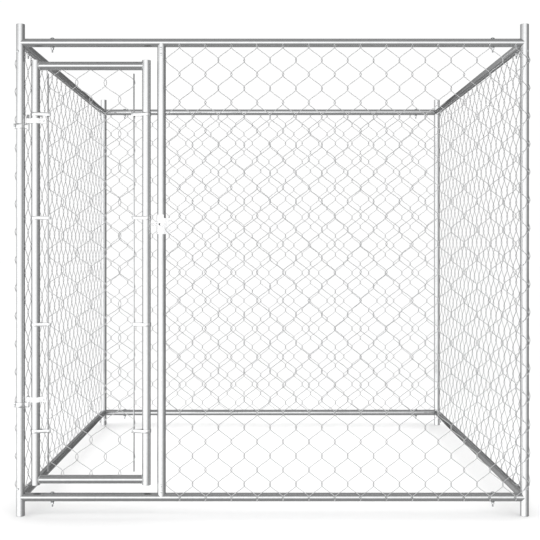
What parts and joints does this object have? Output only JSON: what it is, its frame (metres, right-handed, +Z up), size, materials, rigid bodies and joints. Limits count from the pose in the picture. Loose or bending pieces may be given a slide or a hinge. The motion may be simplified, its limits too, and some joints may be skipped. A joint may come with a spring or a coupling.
{
  "type": "dog kennel",
  "caption": "Open-topped outdoor dog kennel of galvanised tube with chain-link sides and a hinged, latched door.",
  "frame": {"origin": "on the ground under the middle of the whole kennel", "axes": "+Z up; +X along the front, from the door's hinge side to the far side; +Y from the front, where the door is, to the rear"},
  "size_m": [1.9566, 1.9614, 1.85],
  "materials": {
    "tube_steel": "bright hot-dip galvanised tube",
    "net_wire": "galvanised wire, satin",
    "pressed_fitting": "pale zinc-plated pressed steel",
    "zinc_bolt": "bright zinc plate"
  },
  "bodies": {
    "frame": {"front_left_post": "tube_steel", "front_right_post": "tube_steel", "rear_left_post": "tube_steel", "rear_right_post": "tube_steel", "front_bottom_rail": "tube_steel", "front_top_rail": "tube_steel", "rear_bottom_rail": "tube_steel", "rear_top_rail": "tube_steel", "left_bottom_rail": "tube_steel", "left_top_rail": "tube_steel", "right_bottom_rail": "tube_steel", "right_top_rail": "tube_steel", "door_jamb_post": "tube_steel", "front_net": "net_wire", "left_net": "net_wire", "right_net": "net_wire", "rear_net": "net_wire", "upper_hinge_pin_clamp": "pressed_fitting", "lower_hinge_pin_clamp": "pressed_fitting", "upper_hinge_post_bolt": "zinc_bolt", "lower_hinge_post_bolt": "zinc_bolt", "latch_housing": "pressed_fitting", "latch_clamp_bolt_upper": "zinc_bolt", "latch_clamp_bolt_lower": "zinc_bolt", "front_bottom_rail_bolt_left": "zinc_bolt", "front_bottom_rail_bolt_right": "zinc_bolt", "front_top_rail_bolt_left": "zinc_bolt", "front_top_rail_bolt_right": "zinc_bolt", "rear_bottom_rail_bolt_left": "zinc_bolt", "rear_bottom_rail_bolt_right": "zinc_bolt", "rear_top_rail_bolt_left": "zinc_bolt", "rear_top_rail_bolt_right": "zinc_bolt", "left_bottom_rail_bolt_front": "zinc_bolt", "left_bottom_rail_bolt_rear": "zinc_bolt", "left_top_rail_bolt_front": "zinc_bolt", "left_top_rail_bolt_rear": "zinc_bolt", "right_bottom_rail_bolt_front": "zinc_bolt", "right_bottom_rail_bolt_rear": "zinc_bolt", "right_top_rail_bolt_front": "zinc_bolt", "right_top_rail_bolt_rear": "zinc_bolt"},
    "door": {"door_hinge_stile": "tube_steel", "door_latch_stile": "tube_steel", "door_bottom_rail": "tube_steel", "door_top_rail": "tube_steel", "hinge_tension_bar": "net_wire", "latch_tension_bar": "net_wire", "door_net": "net_wire", "hinge_tension_band_1": "pressed_fitting", "hinge_tension_band_2": "pressed_fitting", "hinge_tension_band_3": "pressed_fitting", "hinge_tension_band_4": "pressed_fitting", "latch_tension_band_1": "pressed_fitting", "latch_tension_band_2": "pressed_fitting", "latch_tension_band_3": "pressed_fitting", "latch_tension_band_4": "pressed_fitting", "upper_hinge_eye_strap": "pressed_fitting", "lower_hinge_eye_strap": "pressed_fitting", "upper_hinge_door_bolt": "zinc_bolt", "lower_hinge_door_bolt": "zinc_bolt"},
    "latch": {"latch_bolt": "pressed_fitting"}
  },
  "joints": [
    {"name": "door_hinge", "type": "hinge", "parent": "frame", "child": "door", "pos_m": [-0.9205, -0.94665, 0.95185], "axis": [0, 0, -1], "range_deg": [-90, 100]},
    {"name": "latch_slide", "type": "slide", "parent": "frame", "child": "latch", "axis": [-1, 0, 0], "range_m": [0, 0.01]}
  ]
}
